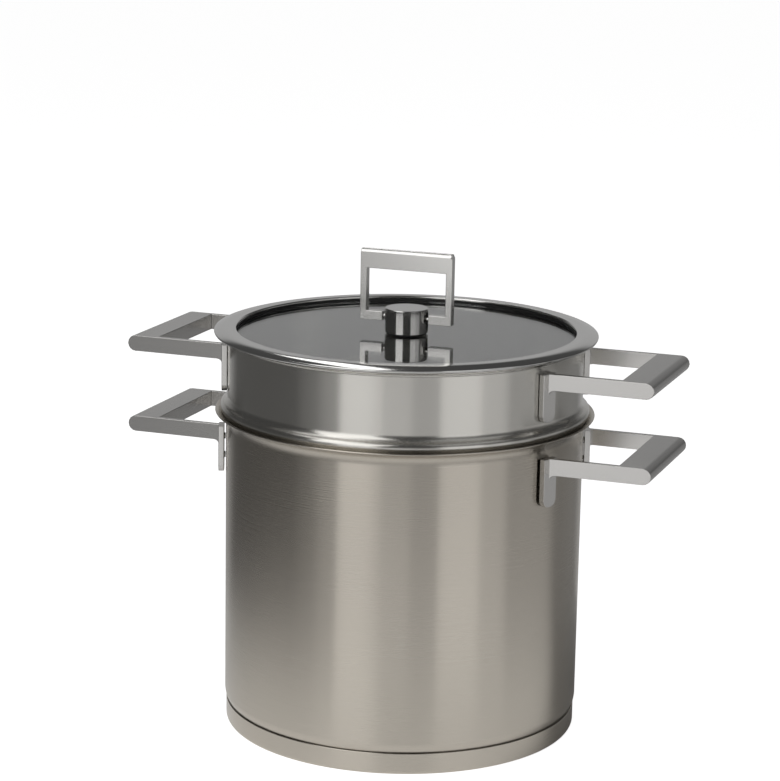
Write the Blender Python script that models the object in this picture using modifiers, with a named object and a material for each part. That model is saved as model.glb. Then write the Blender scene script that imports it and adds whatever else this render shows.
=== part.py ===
"""Stockpot with a strainer insert, a flat glass lid and a folding lid handle.

The pot stands on the floor with its axis on world Z and its origin at the centre of its base.
The strainer insert hangs in the flared rim of the pot, and the lid lies on the insert's own rim.
"""
import math

import bmesh
import bpy
from mathutils import Matrix

# General values, in metres
FIT_GAP = 0.0003            # left between two pieces that touch
SHEET = 0.001               # thickness of the drawn steel sheet
ROUND_STEPS = 48            # facets round the large turned pieces
SMALL_STEPS = 24            # facets round the small turned pieces
SLIVER_AREA = 1e-10         # square metres, of a face that is only a line

# Pot
BODY_RADIUS = 0.121         # outer radius of the pot
POT_RIM_HEIGHT = 0.2173     # top edge of the flared rim above the floor
POT_FLARE_RADIUS = 0.0094   # bend of the flared rim, on its outer face
POT_FLARE_ANGLE = math.radians(75)
POT_CORNER_RADIUS = 0.012   # bend between wall and floor, on the outer face

# Base: an aluminium disc in a pressed steel cap
BASE_CAP_SHEET = 0.0008
BASE_CAP_INSET = 0.0009     # how far the cap stands back from the pot's wall
BASE_CAP_HEIGHT = 0.0146
BASE_CAP_CORNER = 0.0024

# Strainer insert
COLLAR_RADIUS = 0.119       # outer radius of the collar
COLLAR_RISE = 0.0518        # from the pot's rim up to the collar's
COLLAR_FLARE_RADIUS = 0.0035
COLLAR_FLARE_ANGLE = math.radians(70)
BEAD_OVERHANG = 0.0048      # how far the seating bead stands out of the collar
BEAD_RADIUS = 0.0025
BEAD_RISE = 0.0026          # from the pot's rim up to the widest line of the bead
SHOULDER_RADIUS = 0.0065    # concave bend between collar and bead
BASKET_CLEARANCE = 0.0015   # between the basket and the pot's inner wall
BASKET_NECK_RADIUS = 0.003
BASKET_FLOOR_HEIGHT = 0.040
BASKET_CORNER_RADIUS = 0.012
HOLE_RADIUS = 0.0036
HOLE_SIDES = 6
HOLE_ROWS = 5
HOLE_ROW_PITCH = 0.026
HOLE_FIRST_ROW = 0.020      # from the top of the basket's corner to the first row
FLOOR_HOLE_RINGS = 3
FLOOR_HOLE_PITCH = 0.027

# Side handles, all four alike
HANDLE_WIDTH = 0.094        # outside the legs, across the handle
HANDLE_REACH = 0.1845       # from the pot's axis to the outer edge of the grip
HANDLE_HEIGHT = 0.0108      # thickness of the legs and grip from above to below
GRIP_DEPTH = 0.022
LEG_THICKNESS = 0.0038
FLANGE_WIDTH = 0.0126
FLANGE_DROP = 0.0323        # from the top of the leg to the end of the flange
FLANGE_CORNER = 0.005
FLANGE_STANDOFF = 0.0012    # bridged by the weld projections
LEG_FILLET = 0.004
PROJECTION_RADIUS = 0.0022
PROJECTION_DEPTHS = (0.008, 0.021)  # below the top of the leg
POT_HANDLE_DROP = 0.0126    # from the rim down to the top of the handle
STRAINER_HANDLE_DROP = 0.0083

# Lid
LID_OVERHANG = 0.01025      # how far the rim stands out of the collar's wall
LID_RIM_REACH = 0.00475     # how far the rim reaches in from the collar's wall
LID_RIM_THICKNESS = 0.0037  # of the folded hem outside the collar
LID_RIM_SHEET = 0.0007
LID_CROWN_RADIUS = 0.027    # curve by which the rim falls away to its outer edge
LID_CROWN_START = 0.0005    # from the collar's wall out to where the curve starts
LID_EDGE_BEND = 0.0007
LID_SKIRT_CLEARANCE = 0.0004
GLASS_DEPTH = 0.004         # from the rim's top down to the glass
GLASS_THICKNESS = 0.004
SEAL_WALL = 0.0006

# Knob and its screw
KNOB_RADIUS = 0.0147
KNOB_RISE = 0.0176          # from the glass to the knob's top
KNOB_WALL = 0.0018
KNOB_ROOF = 0.0022
KNOB_EDGE = 0.0004
KNOB_GASKET_THICKNESS = 0.0008
KNOB_GASKET_INSET = 0.001
KNOB_BASE_THICKNESS = 0.005
SLOT_WIDTH = 0.0044
SLOT_FLOOR = 0.0012         # steel left below the slot
SCREW_RADIUS = 0.0024
SCREW_HEAD_RADIUS = 0.0048
SCREW_HEAD_HEIGHT = 0.0024
SCREW_HEAD_BEND = 0.0012
SCREW_HOLE_CLEARANCE = 0.0006
WASHER_RADIUS = 0.0078
WASHER_THICKNESS = 0.0008
SCREW_GASKET_THICKNESS = 0.001

# Lid handle
FRAME_WIDTH = 0.065
FRAME_RISE = 0.0454         # from the pin's axis to the top of the handle
FRAME_THICKNESS = 0.0064
FRAME_TOP_BAR = 0.0132
FRAME_SIDE_BAR = 0.0043
FRAME_LOWER_BAR = 0.0062
FRAME_KNOB_GAP = 0.0017     # between the ends of the lower bars and the knob
PIN_RADIUS = 0.0018
PIN_SOCKET_DEPTH = 0.006
PIN_CLEARANCE = 0.00015

COLLAR_TOP_HEIGHT = POT_RIM_HEIGHT + COLLAR_RISE


def clear_scene():
    """Remove what the scene holds."""
    for item in list(bpy.data.objects):
        bpy.data.objects.remove(item, do_unlink=True)


def new_collection(name):
    """Add a collection to the scene."""
    collection = bpy.data.collections.new(name)
    bpy.context.scene.collection.children.link(collection)
    return collection


def new_material(name, colour, roughness, metallic, transmission=0.0):
    """Make a Principled material."""
    material = bpy.data.materials.new(name)
    material.use_nodes = True
    shader = material.node_tree.nodes["Principled BSDF"]
    shader.inputs["Base Color"].default_value = (*colour, 1.0)
    shader.inputs["Roughness"].default_value = roughness
    shader.inputs["Metallic"].default_value = metallic
    shader.inputs["Transmission Weight"].default_value = transmission
    material.diffuse_color = (*colour, 1.0)
    material.roughness = roughness
    material.metallic = metallic
    return material


def arc(centre_x, centre_z, radius, start, end, steps):
    """Points on a circle from one angle to another, in radians from +X."""
    points = []
    for step in range(steps + 1):
        angle = start + (end - start) * step / steps
        points.append((centre_x + radius * math.cos(angle), centre_z + radius * math.sin(angle)))
    return points


def smooth(mesh, angle=35):
    """Shade a mesh smooth and keep its real corners sharp."""
    mesh.shade_smooth()
    mesh.set_sharp_from_angle(angle=math.radians(angle))


def add_object(name, mesh, collection, material=None):
    """Put a mesh into a collection as a new object."""
    item = bpy.data.objects.new(name, mesh)
    collection.objects.link(item)
    if material and not mesh.materials:
        mesh.materials.append(material)
    return item


def hide_cutter(item):
    """Mark an object as a cutter."""
    item.hide_render = True
    item.display_type = "WIRE"


def turned(name, profile, collection, material, steps=ROUND_STEPS, closed=True):
    """Spin a profile of (radius, height) points about Z.

    A closed profile runs down its outer side. An open one starts and ends on the axis,
    or is the outer face of a shell.
    """
    mesh = bpy.data.meshes.new(name)
    edges = [(index, index + 1) for index in range(len(profile) - 1)]
    if closed:
        edges.append((len(profile) - 1, 0))
    mesh.from_pydata([(radius, 0.0, height) for radius, height in profile], edges, [])
    item = add_object(name, mesh, collection, material)
    screw = item.modifiers.new("turn", "SCREW")
    screw.steps = steps
    screw.render_steps = steps
    screw.use_merge_vertices = True
    screw.merge_threshold = 0.00001
    screw.use_smooth_shade = True
    return item


def shell(name, profile, thickness, collection, material):
    """Spin the outer face of a drawn piece and thicken it inwards."""
    item = turned(name, profile, collection, material, closed=False)
    wall = item.modifiers.new("sheet", "SOLIDIFY")
    wall.thickness = thickness
    wall.offset = -1.0
    wall.use_even_offset = True
    return item


def box_mesh(name, low, high):
    """A box between two corners."""
    mesh = bpy.data.meshes.new(name)
    work = bmesh.new()
    bmesh.ops.create_cube(work, size=1.0)
    size = [top - bottom for bottom, top in zip(low, high)]
    middle = [(top + bottom) / 2 for bottom, top in zip(low, high)]
    bmesh.ops.transform(work, matrix=Matrix.Translation(middle) @ Matrix.Diagonal((*size, 1.0)),
                        verts=work.verts)
    work.to_mesh(mesh)
    work.free()
    return mesh


def rod_mesh(name, radius, length, steps, matrices):
    """One or more closed rods along the local Z of each matrix, centred on it."""
    mesh = bpy.data.meshes.new(name)
    work = bmesh.new()
    for matrix in matrices:
        bmesh.ops.create_cone(work, cap_ends=True, segments=steps, radius1=radius, radius2=radius,
                              depth=length, matrix=matrix)
    work.to_mesh(mesh)
    work.free()
    return mesh


def outline_mesh(name, points, thickness, matrix):
    """Extrude a flat outline, as a closed mesh in the place that the matrix gives."""
    curve = bpy.data.curves.new(name, "CURVE")
    curve.dimensions = "2D"
    curve.fill_mode = "BOTH"
    curve.extrude = thickness / 2
    spline = curve.splines.new("POLY")
    spline.points.add(len(points) - 1)
    for point, (across, up) in zip(spline.points, points):
        point.co = (across, up, 0.0, 1.0)
    spline.use_cyclic_u = True
    holder = bpy.data.objects.new(name, curve)
    bpy.context.scene.collection.objects.link(holder)
    graph = bpy.context.evaluated_depsgraph_get()
    mesh = bpy.data.meshes.new_from_object(holder.evaluated_get(graph))
    bpy.data.objects.remove(holder, do_unlink=True)
    work = bmesh.new()
    work.from_mesh(mesh)
    bmesh.ops.remove_doubles(work, verts=work.verts, dist=0.000001)
    bmesh.ops.transform(work, matrix=matrix, verts=work.verts)
    bmesh.ops.recalc_face_normals(work, faces=work.faces)
    work.to_mesh(mesh)
    work.free()
    return mesh


def combine(item, other, operation):
    """Cut, join or trim an object with another one."""
    step = item.modifiers.new(other.name, "BOOLEAN")
    step.operation = operation
    step.solver = "EXACT"
    step.object = other
    hide_cutter(other)


def finished_mesh(item, name):
    """The mesh of an object with its modifiers done, merged into whole flat faces."""
    bpy.context.view_layer.update()
    graph = bpy.context.evaluated_depsgraph_get()
    mesh = bpy.data.meshes.new_from_object(item.evaluated_get(graph))
    mesh.name = name
    work = bmesh.new()
    work.from_mesh(mesh)
    bmesh.ops.remove_doubles(work, verts=work.verts, dist=0.000001)
    slivers = [face for face in work.faces if face.calc_area() < SLIVER_AREA]
    longest = {max(face.edges, key=lambda edge: edge.calc_length()) for face in slivers}
    bmesh.ops.dissolve_edges(work, edges=list(longest))
    bmesh.ops.dissolve_limit(work, angle_limit=math.radians(0.5), verts=work.verts,
                             edges=work.edges)
    work.to_mesh(mesh)
    work.free()
    smooth(mesh)
    return mesh


def flare_start(top_height, bend, sweep):
    """Height at which a wall starts to bend out to its flared rim."""
    return top_height - (bend + SHEET) * math.sin(sweep)


def flare(wall_radius, top_height, bend, sweep, steps):
    """Outer face of a flared rim, from its edge down to the straight wall."""
    low = flare_start(top_height, bend, sweep)
    return arc(wall_radius + bend, low, bend, math.pi - sweep, math.pi, steps)


def make_pot(parts, steel, aluminium):
    """The drawn body, its aluminium disc and the cap pressed over it.

    The cap's edge meets the rounded corner of the body, which sets the height of the pot's floor.
    """
    cap_radius = BODY_RADIUS - BASE_CAP_INSET
    lip = cap_radius - BASE_CAP_SHEET
    corner_x = BODY_RADIUS - POT_CORNER_RADIUS
    corner_z = BASE_CAP_HEIGHT + math.sqrt(
        POT_CORNER_RADIUS ** 2 - (lip - FIT_GAP - corner_x) ** 2)
    underside = corner_z - POT_CORNER_RADIUS
    corner = arc(corner_x, corner_z, POT_CORNER_RADIUS, 0.0, -math.pi / 2, 4)
    body = flare(BODY_RADIUS, POT_RIM_HEIGHT, POT_FLARE_RADIUS, POT_FLARE_ANGLE, 4)
    shell("pot_body", body + corner + [(0.0, underside)], SHEET, parts, steel)

    bend_x = cap_radius - BASE_CAP_CORNER
    cap = [(0.0, BASE_CAP_SHEET)]
    cap += arc(bend_x, BASE_CAP_CORNER, BASE_CAP_CORNER - BASE_CAP_SHEET, -math.pi / 2, 0.0, 3)
    cap += [(lip, BASE_CAP_HEIGHT), (cap_radius, BASE_CAP_HEIGHT)]
    cap += arc(bend_x, BASE_CAP_CORNER, BASE_CAP_CORNER, 0.0, -math.pi / 2, 3)
    cap += [(0.0, 0.0)]
    turned("pot_base_cap", cap, parts, steel, closed=False)

    low = BASE_CAP_SHEET + FIT_GAP
    high = underside - FIT_GAP
    core = [(0.0, high), (bend_x, high), (bend_x, low), (0.0, low)]
    turned("pot_base_core", core, parts, aluminium, closed=False)


def seat_profile():
    """Outer face of the insert's shoulder and seating bead, down to the basket's wall.

    The underside of the bead is a cone that lies on the inner face of the pot's flared rim. Its
    steepness follows from the bead and that face, which it touches both.
    """
    flare_x = BODY_RADIUS + POT_FLARE_RADIUS
    flare_z = flare_start(POT_RIM_HEIGHT, POT_FLARE_RADIUS, POT_FLARE_ANGLE)
    reach = POT_FLARE_RADIUS + SHEET + FIT_GAP
    bead_x = COLLAR_RADIUS + BEAD_OVERHANG - BEAD_RADIUS
    bead_z = POT_RIM_HEIGHT + BEAD_RISE
    apart = math.hypot(bead_x - flare_x, bead_z - flare_z)
    facing = math.atan2(bead_z - flare_z, bead_x - flare_x)
    seat_angle = math.pi - facing - math.acos((reach + BEAD_RADIUS) / apart)
    seat_x = flare_x - reach * math.cos(seat_angle)
    seat_z = flare_z + reach * math.sin(seat_angle)

    shoulder_x = COLLAR_RADIUS + SHOULDER_RADIUS
    spread = SHOULDER_RADIUS + BEAD_RADIUS
    tilt = math.acos((shoulder_x - bead_x) / spread)
    shoulder_z = bead_z + spread * math.sin(tilt)
    shoulder = arc(shoulder_x, shoulder_z, SHOULDER_RADIUS, math.pi, math.pi + tilt, 4)
    bead = arc(bead_x, bead_z, BEAD_RADIUS, tilt, -seat_angle, 4)

    basket_radius = BODY_RADIUS - SHEET - BASKET_CLEARANCE
    neck_x = basket_radius + BASKET_NECK_RADIUS
    neck_start = neck_x - BASKET_NECK_RADIUS * math.cos(seat_angle)
    neck_top = seat_z + (neck_start - seat_x) / math.tan(seat_angle)
    neck_z = neck_top - BASKET_NECK_RADIUS * math.sin(seat_angle)
    neck = arc(neck_x, neck_z, BASKET_NECK_RADIUS, math.pi - seat_angle, math.pi, 2)
    return shoulder + bead[1:] + neck, basket_radius


def hole_matrices(basket_radius):
    """Places of the holes in the basket's wall and floor."""
    places = []
    facet = 2 * math.pi / ROUND_STEPS
    lift = BASKET_FLOOR_HEIGHT + BASKET_CORNER_RADIUS + HOLE_FIRST_ROW
    for row in range(HOLE_ROWS):
        for place in range(ROUND_STEPS // 2):
            turn = Matrix.Rotation(facet * (2 * place + row % 2 + 0.5), 4, "Z")
            out = Matrix.Translation((basket_radius - SHEET / 2, 0.0, lift + row * HOLE_ROW_PITCH))
            places.append(turn @ out @ Matrix.Rotation(math.pi / 2, 4, "Y"))
    flat = BASKET_FLOOR_HEIGHT + SHEET / 2
    places.append(Matrix.Translation((0.0, 0.0, flat)))
    for ring in range(1, FLOOR_HOLE_RINGS + 1):
        for place in range(6 * ring):
            turn = Matrix.Rotation(math.pi / (3 * ring) * (place + 0.5), 4, "Z")
            places.append(turn @ Matrix.Translation((ring * FLOOR_HOLE_PITCH, 0.0, flat)))
    return places


def make_strainer(parts, cutters, steel):
    """Collar, seating bead and perforated basket, drawn from one sheet."""
    seat, basket_radius = seat_profile()
    rim = flare(COLLAR_RADIUS, COLLAR_TOP_HEIGHT, COLLAR_FLARE_RADIUS, COLLAR_FLARE_ANGLE, 3)
    corner = arc(basket_radius - BASKET_CORNER_RADIUS, BASKET_FLOOR_HEIGHT + BASKET_CORNER_RADIUS,
                 BASKET_CORNER_RADIUS, 0.0, -math.pi / 2, 3)
    profile = rim + seat + corner + [(0.0, BASKET_FLOOR_HEIGHT)]
    basket = shell("strainer_basket", profile, SHEET, parts, steel)

    holes = rod_mesh("strainer_holes", HOLE_RADIUS, 6 * SHEET, HOLE_SIDES,
                     hole_matrices(basket_radius))
    combine(basket, add_object("strainer_holes", holes, cutters), "DIFFERENCE")


def handle_mesh(owner, wall_radius, cutters, steel):
    """One side handle for a wall, its top at height zero and the pot's axis at the origin.

    Each leg ends in the middle of its flange.
    """
    half = HANDLE_WIDTH / 2
    plate = wall_radius + FLANGE_STANDOFF
    turn = math.asin((half - LEG_THICKNESS / 2) / (plate + LEG_THICKNESS / 2))
    inside = (half - LEG_THICKNESS) * math.sin(turn)
    outside = half * math.sin(turn)
    heel = (plate + FIT_GAP - inside) / math.cos(turn)
    sole = (plate + LEG_THICKNESS - FIT_GAP - outside) / math.cos(turn)

    nose = HANDLE_HEIGHT / 2
    heel_low = FLANGE_CORNER - FLANGE_DROP
    profile = [(heel, 0.0), (heel, heel_low), (sole, heel_low)]
    profile += arc(sole + LEG_FILLET, -HANDLE_HEIGHT - LEG_FILLET, LEG_FILLET,
                   math.pi, math.pi / 2, 4)
    profile += arc(HANDLE_REACH - nose, -nose, nose, -math.pi / 2, math.pi / 2, 8)
    upright = Matrix.Rotation(math.pi / 2, 4, "X")
    name = owner + "_handle_loop"
    loop = add_object(name, outline_mesh(name, profile, HANDLE_WIDTH, upright), cutters, steel)

    reach = HANDLE_REACH - GRIP_DEPTH
    name = owner + "_handle_window"
    window = box_mesh(name, (0.0, LEG_THICKNESS - half, -2 * FLANGE_DROP),
                      (reach, half - LEG_THICKNESS, FLANGE_DROP))
    combine(loop, add_object(name, window, cutters), "DIFFERENCE")

    side = FLANGE_WIDTH / 2
    outline = [(-side, 0.0)]
    outline += arc(-side + FLANGE_CORNER, heel_low, FLANGE_CORNER, math.pi, 1.5 * math.pi, 4)
    outline += arc(side - FLANGE_CORNER, heel_low, FLANGE_CORNER, 1.5 * math.pi, 2 * math.pi, 4)
    outline += [(side, 0.0)]
    facing = Matrix.Rotation(math.pi / 2, 4, "Z") @ Matrix.Rotation(math.pi / 2, 4, "X")
    for sign, end in ((-1, "_near"), (1, "_far")):
        place = Matrix.Rotation(sign * turn, 4, "Z") @ Matrix.Translation(
            (plate + LEG_THICKNESS / 2, 0.0, 0.0)) @ facing
        name = owner + "_flange" + end
        flange = outline_mesh(name, outline, LEG_THICKNESS, place)
        combine(loop, add_object(name, flange, cutters), "UNION")
        spots = projections(owner + "_projections" + end, sign * turn, wall_radius, cutters)
        combine(loop, spots, "UNION")
    mesh = finished_mesh(loop, owner + "_side_handle")
    bpy.data.objects.remove(loop, do_unlink=True)
    return mesh


def projections(name, turn, wall_radius, cutters):
    """The two raised spots by which a flange is welded to the wall."""
    inner = wall_radius + FIT_GAP
    length = FLANGE_STANDOFF + LEG_THICKNESS / 2 - FIT_GAP
    places = []
    for depth in PROJECTION_DEPTHS:
        out = Matrix.Translation((inner + length / 2, 0.0, -depth))
        places.append(Matrix.Rotation(turn, 4, "Z") @ out @ Matrix.Rotation(math.pi / 2, 4, "Y"))
    return add_object(name, rod_mesh(name, PROJECTION_RADIUS, length, 12, places), cutters)


def make_side_handles(parts, cutters, steel):
    """Two handles on the pot and two on the insert, each pair from one mesh."""
    pairs = (("pot", BODY_RADIUS, POT_RIM_HEIGHT - POT_HANDLE_DROP),
             ("strainer", COLLAR_RADIUS, COLLAR_TOP_HEIGHT - STRAINER_HANDLE_DROP))
    for owner, wall_radius, top in pairs:
        mesh = handle_mesh(owner, wall_radius, cutters, steel)
        for side, turn in (("right", 0.0), ("left", math.pi)):
            handle = add_object(owner + "_" + side + "_handle", mesh, parts, steel)
            handle.location = (0.0, 0.0, top)
            handle.rotation_euler = (0.0, 0.0, turn)


def lid_levels():
    """Heights in the lid, from the collar's rim up."""
    hem_low = COLLAR_TOP_HEIGHT + FIT_GAP
    rim_top = hem_low + LID_RIM_THICKNESS
    glass_top = rim_top - GLASS_DEPTH
    return hem_low, rim_top, glass_top, glass_top - GLASS_THICKNESS


def make_lid(parts, steel, glass, silicone):
    """Steel rim rolled round the glass, with a seal between them."""
    hem_low, rim_top, glass_top, glass_low = lid_levels()
    outer = COLLAR_RADIUS + LID_OVERHANG
    inner = COLLAR_RADIUS - LID_RIM_REACH
    skirt = COLLAR_RADIUS - SHEET - LID_SKIRT_CLEARANCE
    web = skirt - LID_RIM_SHEET
    glass_radius = web - 2 * FIT_GAP - SEAL_WALL
    seal_low = glass_low - FIT_GAP - SEAL_WALL
    ledge_top = seal_low - FIT_GAP
    ledge_low = ledge_top - LID_RIM_SHEET
    roof = rim_top - LID_RIM_SHEET

    crown_x = COLLAR_RADIUS + LID_CROWN_START
    crown_z = rim_top - LID_CROWN_RADIUS
    edge_x = outer - LID_EDGE_BEND
    edge_turn = math.acos((edge_x - crown_x) / (LID_CROWN_RADIUS - LID_EDGE_BEND))
    edge_z = crown_z + (LID_CROWN_RADIUS - LID_EDGE_BEND) * math.sin(edge_turn)
    lower_bend = edge_z - hem_low
    profile = [(inner, rim_top)]
    profile += arc(crown_x, crown_z, LID_CROWN_RADIUS, math.pi / 2, edge_turn, 4)
    profile += arc(edge_x, edge_z, LID_EDGE_BEND, edge_turn, 0.0, 3)[1:]
    profile += arc(outer - lower_bend, edge_z, lower_bend, 0.0, -math.pi / 2, 3)[1:]
    profile += [(skirt, hem_low), (skirt, ledge_low), (inner, ledge_low), (inner, ledge_top)]
    profile += [(web, ledge_top), (web, roof), (inner, roof)]
    turned("lid_rim", profile, parts, steel)

    seal_high = roof - FIT_GAP
    seal_out = web - FIT_GAP
    seal_in = inner + FIT_GAP
    profile = [(seal_in, seal_high), (seal_out, seal_high), (seal_out, seal_low)]
    profile += [(seal_in, seal_low), (seal_in, glass_low - FIT_GAP)]
    profile += [(glass_radius + FIT_GAP, glass_low - FIT_GAP)]
    profile += [(glass_radius + FIT_GAP, glass_top + FIT_GAP), (seal_in, glass_top + FIT_GAP)]
    turned("lid_seal", profile, parts, silicone)

    hole = SCREW_RADIUS + SCREW_HOLE_CLEARANCE
    profile = [(hole, glass_top), (glass_radius, glass_top), (glass_radius, glass_low)]
    profile += [(hole, glass_low)]
    turned("lid_glass", profile, parts, glass)


def knob_levels():
    """Heights of the knob's lower edge, the top of its plug, and its roof."""
    _, _, glass_top, _ = lid_levels()
    knob_low = glass_top + 2 * FIT_GAP + KNOB_GASKET_THICKNESS
    return knob_low, knob_low + KNOB_BASE_THICKNESS, glass_top + KNOB_RISE - KNOB_ROOF


def pivot_height():
    """Height of the pin, halfway up the block inside the knob."""
    _, base_high, roof = knob_levels()
    return (base_high + roof) / 2


def washer(name, inner, outer, low, high, parts, material):
    """A flat ring."""
    profile = [(inner, high), (outer, high), (outer, low), (inner, low)]
    turned(name, profile, parts, material, steps=SMALL_STEPS)


def make_knob(parts, cutters, steel, silicone, plastic):
    """Knob, the block inside it, and the screw that holds them to the glass."""
    _, _, glass_top, glass_low = lid_levels()
    knob_low, base_high, roof = knob_levels()
    hole = SCREW_RADIUS + SCREW_HOLE_CLEARANCE
    washer("lid_knob_gasket", hole, KNOB_RADIUS - KNOB_GASKET_INSET, glass_top + FIT_GAP,
           knob_low - FIT_GAP, parts, silicone)

    top = roof + KNOB_ROOF
    inner = KNOB_RADIUS - KNOB_WALL
    profile = [(0.0, top), (KNOB_RADIUS - KNOB_EDGE, top)]
    profile += [(KNOB_RADIUS, top - KNOB_EDGE), (KNOB_RADIUS, knob_low)]
    profile += [(inner, knob_low), (inner, roof), (0.0, roof)]
    knob = turned("lid_knob", profile, parts, steel, steps=2 * SMALL_STEPS, closed=False)
    slots = box_mesh("knob_slots", (-2 * KNOB_RADIUS, -SLOT_WIDTH / 2, knob_low + SLOT_FLOOR),
                     (2 * KNOB_RADIUS, SLOT_WIDTH / 2, roof))
    combine(knob, add_object("knob_slots", slots, cutters), "DIFFERENCE")

    plug = inner - FIT_GAP
    washer("lid_knob_base", hole, plug, knob_low, base_high, parts, steel)

    block_low = base_high + FIT_GAP
    block_high = roof - FIT_GAP
    profile = [(0.0, block_high), (plug, block_high), (plug, block_low), (0.0, block_low)]
    block = turned("lid_friction_block", profile, parts, plastic, steps=SMALL_STEPS, closed=False)
    across = Matrix.Translation((0.0, 0.0, pivot_height())) @ Matrix.Rotation(math.pi / 2, 4, "Y")
    bore = rod_mesh("block_bore", PIN_RADIUS + PIN_CLEARANCE, 4 * KNOB_RADIUS, 16, [across])
    combine(block, add_object("block_bore", bore, cutters), "DIFFERENCE")

    gasket_top = glass_low - FIT_GAP
    gasket_bottom = gasket_top - SCREW_GASKET_THICKNESS
    washer("lid_screw_gasket", hole, WASHER_RADIUS, gasket_bottom, gasket_top, parts, silicone)
    washer_top = gasket_bottom - FIT_GAP
    washer_bottom = washer_top - WASHER_THICKNESS
    washer("lid_screw_washer", hole, WASHER_RADIUS - FIT_GAP, washer_bottom, washer_top, parts,
           steel)

    head_top = washer_bottom - FIT_GAP
    head_low = head_top - SCREW_HEAD_HEIGHT
    profile = [(0.0, base_high - FIT_GAP), (SCREW_RADIUS, base_high - FIT_GAP)]
    profile += [(SCREW_RADIUS, head_top), (SCREW_HEAD_RADIUS, head_top)]
    profile += [(SCREW_HEAD_RADIUS, head_low + SCREW_HEAD_BEND)]
    profile += [(SCREW_HEAD_RADIUS - SCREW_HEAD_BEND, head_low), (0.0, head_low)]
    turned("lid_screw", profile, parts, steel, steps=SMALL_STEPS, closed=False)


def make_lid_handle(parts, cutters, steel):
    """The folding frame and the pin it turns on."""
    pivot = bpy.data.objects.new("lid_handle_pivot", None)
    parts.objects.link(pivot)
    pivot.location = (0.0, 0.0, pivot_height())

    half = FRAME_WIDTH / 2
    low = -FRAME_LOWER_BAR / 2
    stub = KNOB_RADIUS + FRAME_KNOB_GAP
    opening = half - FRAME_SIDE_BAR
    sill = low + FRAME_LOWER_BAR
    lintel = FRAME_RISE - FRAME_TOP_BAR
    right = [(stub, low), (half, low), (half, FRAME_RISE)]
    window = [(-opening, lintel), (opening, lintel)]
    outline = right + [(-across, up) for across, up in reversed(right)]
    outline += [(-stub, sill), (-opening, sill)] + window + [(opening, sill), (stub, sill)]
    upright = Matrix.Rotation(math.pi / 2, 4, "X")
    mesh = outline_mesh("lid_handle_frame", outline, FRAME_THICKNESS, upright)
    round_top_bar(mesh)
    frame = add_object("lid_handle_frame", mesh, parts, steel)
    frame.parent = pivot

    across = Matrix.Rotation(math.pi / 2, 4, "Y")
    reach = stub + PIN_SOCKET_DEPTH
    socket = rod_mesh("pin_socket", PIN_RADIUS + PIN_CLEARANCE, 2 * reach, 16, [across])
    cutter = add_object("pin_socket", socket, cutters)
    cutter.parent = pivot
    combine(frame, cutter, "DIFFERENCE")

    pin = rod_mesh("lid_handle_pin", PIN_RADIUS, 2 * (reach - FIT_GAP), 16, [across])
    pin_object = add_object("lid_handle_pin", pin, parts, steel)
    pin_object.parent = pivot
    smooth(pin)


def round_top_bar(mesh):
    """Give the top bar its half-round upper face."""
    work = bmesh.new()
    work.from_mesh(mesh)
    edges = []
    for edge in work.edges:
        ends = [vert.co for vert in edge.verts]
        at_top = all(abs(point.z - FRAME_RISE) < FIT_GAP for point in ends)
        along = abs(ends[0].x - ends[1].x) > FRAME_WIDTH / 2 and abs(ends[0].y - ends[1].y) < FIT_GAP
        if at_top and along:
            edges.append(edge)
    bmesh.ops.bevel(work, geom=edges, offset=FRAME_THICKNESS / 2 - FIT_GAP, affect="EDGES",
                    segments=4, profile=0.5, material=-1)
    work.to_mesh(mesh)
    work.free()


def main():
    """Model the whole object."""
    clear_scene()
    parts = new_collection("stockpot_with_strainer_insert")
    cutters = new_collection("cutters")
    steel = new_material("satin_steel", (0.62, 0.60, 0.57), 0.32, 1.0)
    rim_steel = new_material("rim_steel", (0.60, 0.59, 0.58), 0.36, 1.0)
    handle_steel = new_material("handle_steel", (0.66, 0.65, 0.63), 0.30, 1.0)
    fastener_steel = new_material("fastener_steel", (0.55, 0.55, 0.54), 0.25, 1.0)
    aluminium = new_material("disc_aluminium", (0.75, 0.75, 0.76), 0.45, 1.0)
    glass = new_material("lid_glass", (0.80, 0.82, 0.82), 0.04, 0.0, transmission=0.9)
    silicone = new_material("black_silicone", (0.02, 0.02, 0.02), 0.6, 0.0)
    plastic = new_material("friction_plastic", (0.06, 0.06, 0.06), 0.5, 0.0)
    make_pot(parts, steel, aluminium)
    make_strainer(parts, cutters, steel)
    make_side_handles(parts, cutters, handle_steel)
    make_lid(parts, rim_steel, glass, silicone)
    make_knob(parts, cutters, fastener_steel, silicone, plastic)
    make_lid_handle(parts, cutters, handle_steel)


main()
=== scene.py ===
"""Looks of the stockpot with its strainer insert, glass lid and folding lid handle."""
import math

import bmesh
import bpy
from mathutils import Matrix, Vector, kdtree


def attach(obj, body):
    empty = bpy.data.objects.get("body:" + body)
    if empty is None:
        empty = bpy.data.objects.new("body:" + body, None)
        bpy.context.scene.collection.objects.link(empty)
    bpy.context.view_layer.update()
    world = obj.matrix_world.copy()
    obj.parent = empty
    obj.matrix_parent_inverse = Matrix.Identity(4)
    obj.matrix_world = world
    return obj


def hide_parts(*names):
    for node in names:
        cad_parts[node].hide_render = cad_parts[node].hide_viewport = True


# Sizes of the turned pieces, in metres
SHEET = 0.001
FIT_GAP = 0.0003
BODY_RADIUS = 0.121
POT_RIM_TOP = 0.2173
POT_FLARE = 0.0094
POT_FLARE_SWEEP = math.radians(75)
POT_CORNER = 0.012
CAP_SHEET = 0.0008
CAP_RADIUS = 0.1201
CAP_TOP = 0.0146
CAP_CORNER = 0.0024
COLLAR_RADIUS = 0.119
COLLAR_TOP = 0.2691
COLLAR_FLARE = 0.0035
COLLAR_FLARE_SWEEP = math.radians(70)
BEAD_OVERHANG = 0.0048
BEAD_RADIUS = 0.0025
BEAD_RISE = 0.0026
SHOULDER_RADIUS = 0.0065
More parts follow.
